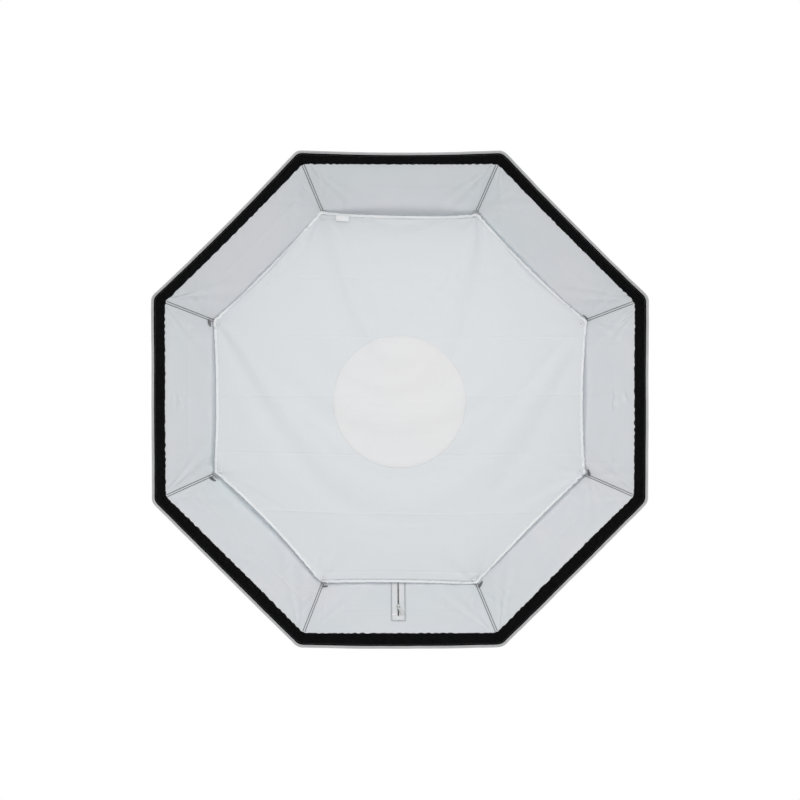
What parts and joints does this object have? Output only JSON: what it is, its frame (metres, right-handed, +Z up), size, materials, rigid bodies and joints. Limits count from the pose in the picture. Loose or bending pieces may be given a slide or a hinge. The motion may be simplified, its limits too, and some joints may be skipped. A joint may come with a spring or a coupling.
{
  "type": "studio softbox",
  "caption": "Octagonal studio softbox with silver lining, flexed rods in sleeves, an inner diffuser, an access zip and a rotating speed ring with a bayonet insert.",
  "frame": {"origin": "centre of the bayonet insert's rear face, where the light bolts on", "axes": "+Y out of the rear towards the light, so the open front faces -Y; +Z up, with the zip in the bottom panel"},
  "size_m": [0.9512, 0.4475, 0.9512],
  "materials": {
    "silver_lining": "satin",
    "black_nylon": "matte",
    "black_fleece": "matte",
    "grey_binding": "matte",
    "grey_webbing": "matte",
    "white_tape": "matte",
    "diffuser_cloth": "matte",
    "spring_steel": "satin",
    "black_alloy": "satin",
    "bright_alloy": "satin",
    "zinc_hardware": "polished",
    "knob_plastic": "satin",
    "nylon_pad": "satin"
  },
  "bodies": {
    "insert": {"bayonet_insert": "bright_alloy", "retainer_ring": "bright_alloy", "retainer_screw_1": "zinc_hardware", "retainer_screw_2": "zinc_hardware", "retainer_screw_3": "zinc_hardware"},
    "box": {"speed_ring": "black_alloy", "rod_1": "spring_steel", "rod_2": "spring_steel", "rod_3": "spring_steel", "rod_4": "spring_steel", "rod_5": "spring_steel", "rod_6": "spring_steel", "rod_7": "spring_steel", "rod_8": "spring_steel", "rod_sleeve_1": "black_nylon", "rod_sleeve_2": "black_nylon", "rod_sleeve_3": "black_nylon", "rod_sleeve_4": "black_nylon", "rod_sleeve_5": "black_nylon", "rod_sleeve_6": "black_nylon", "rod_sleeve_7": "black_nylon", "rod_sleeve_8": "black_nylon", "corner_pocket_1": "black_nylon", "corner_pocket_2": "black_nylon", "corner_pocket_3": "black_nylon", "corner_pocket_4": "black_nylon", "corner_pocket_5": "black_nylon", "corner_pocket_6": "black_nylon", "corner_pocket_7": "black_nylon", "corner_pocket_8": "black_nylon", "panel_1": "silver_lining", "panel_2": "silver_lining", "panel_3": "silver_lining", "panel_4": "silver_lining", "panel_5": "silver_lining", "panel_6": "silver_lining", "panel_7": "silver_lining", "panel_8": "silver_lining", "corner_strap_1": "grey_webbing", "corner_strap_2": "grey_webbing", "corner_strap_3": "grey_webbing", "corner_strap_4": "grey_webbing", "corner_strap_5": "grey_webbing", "corner_strap_6": "grey_webbing", "corner_strap_7": "grey_webbing", "corner_strap_8": "grey_webbing", "rim_binding": "grey_binding", "hook_loop_band": "black_fleece", "band_edging": "white_tape", "rear_hem": "black_nylon", "zip_tape_left": "white_tape", "zip_tape_right": "white_tape"},
    "lock_pad_slide": {"lock_pad": "nylon_pad"},
    "lock_screw": {"lock_knob": "knob_plastic"},
    "slider": {"zip_slider": "zinc_hardware"},
    "pull_tab": {"zip_pull": "zinc_hardware"},
    "diffuser": {"inner_diffuser": "diffuser_cloth", "diffuser_hem": "white_tape", "centre_patch": "diffuser_cloth", "blank_label": "white_tape"}
  },
  "joints": [
    {"name": "box_rotation", "type": "hinge", "parent": "insert", "child": "box", "pos_m": [0, 0, 0], "axis": [0, 1, 0], "continuous": true},
    {"name": "lock_pad_travel", "type": "slide", "parent": "box", "child": "lock_pad_slide", "axis": [1, 0, 0], "range_m": [0, 0.002]},
    {"name": "lock_knob_turn", "type": "hinge", "parent": "lock_pad_slide", "child": "lock_screw", "pos_m": [0.09, -0.0185, 0], "axis": [1, 0, 0], "range_deg": [0, 720]},
    {"name": "zip_travel", "type": "hinge", "parent": "box", "child": "slider", "pos_m": [0, -0.9018, 0.4291], "axis": [1, 0, 0], "range_deg": [-1.64, 3.11]},
    {"name": "pull_flip", "type": "hinge", "parent": "slider", "child": "pull_tab", "pos_m": [0, -0.34343, -0.40945], "axis": [-1, 0, 0], "range_deg": [0, 150]},
    {"name": "diffuser_lift_off", "type": "slide", "parent": "box", "child": "diffuser", "axis": [0, -1, 0], "range_m": [0, 0.25]}
  ],
  "couplings": [
    {"joint": "lock_knob_turn", "follows": "lock_pad_travel", "rad_per_m": 6283.2}
  ]
}
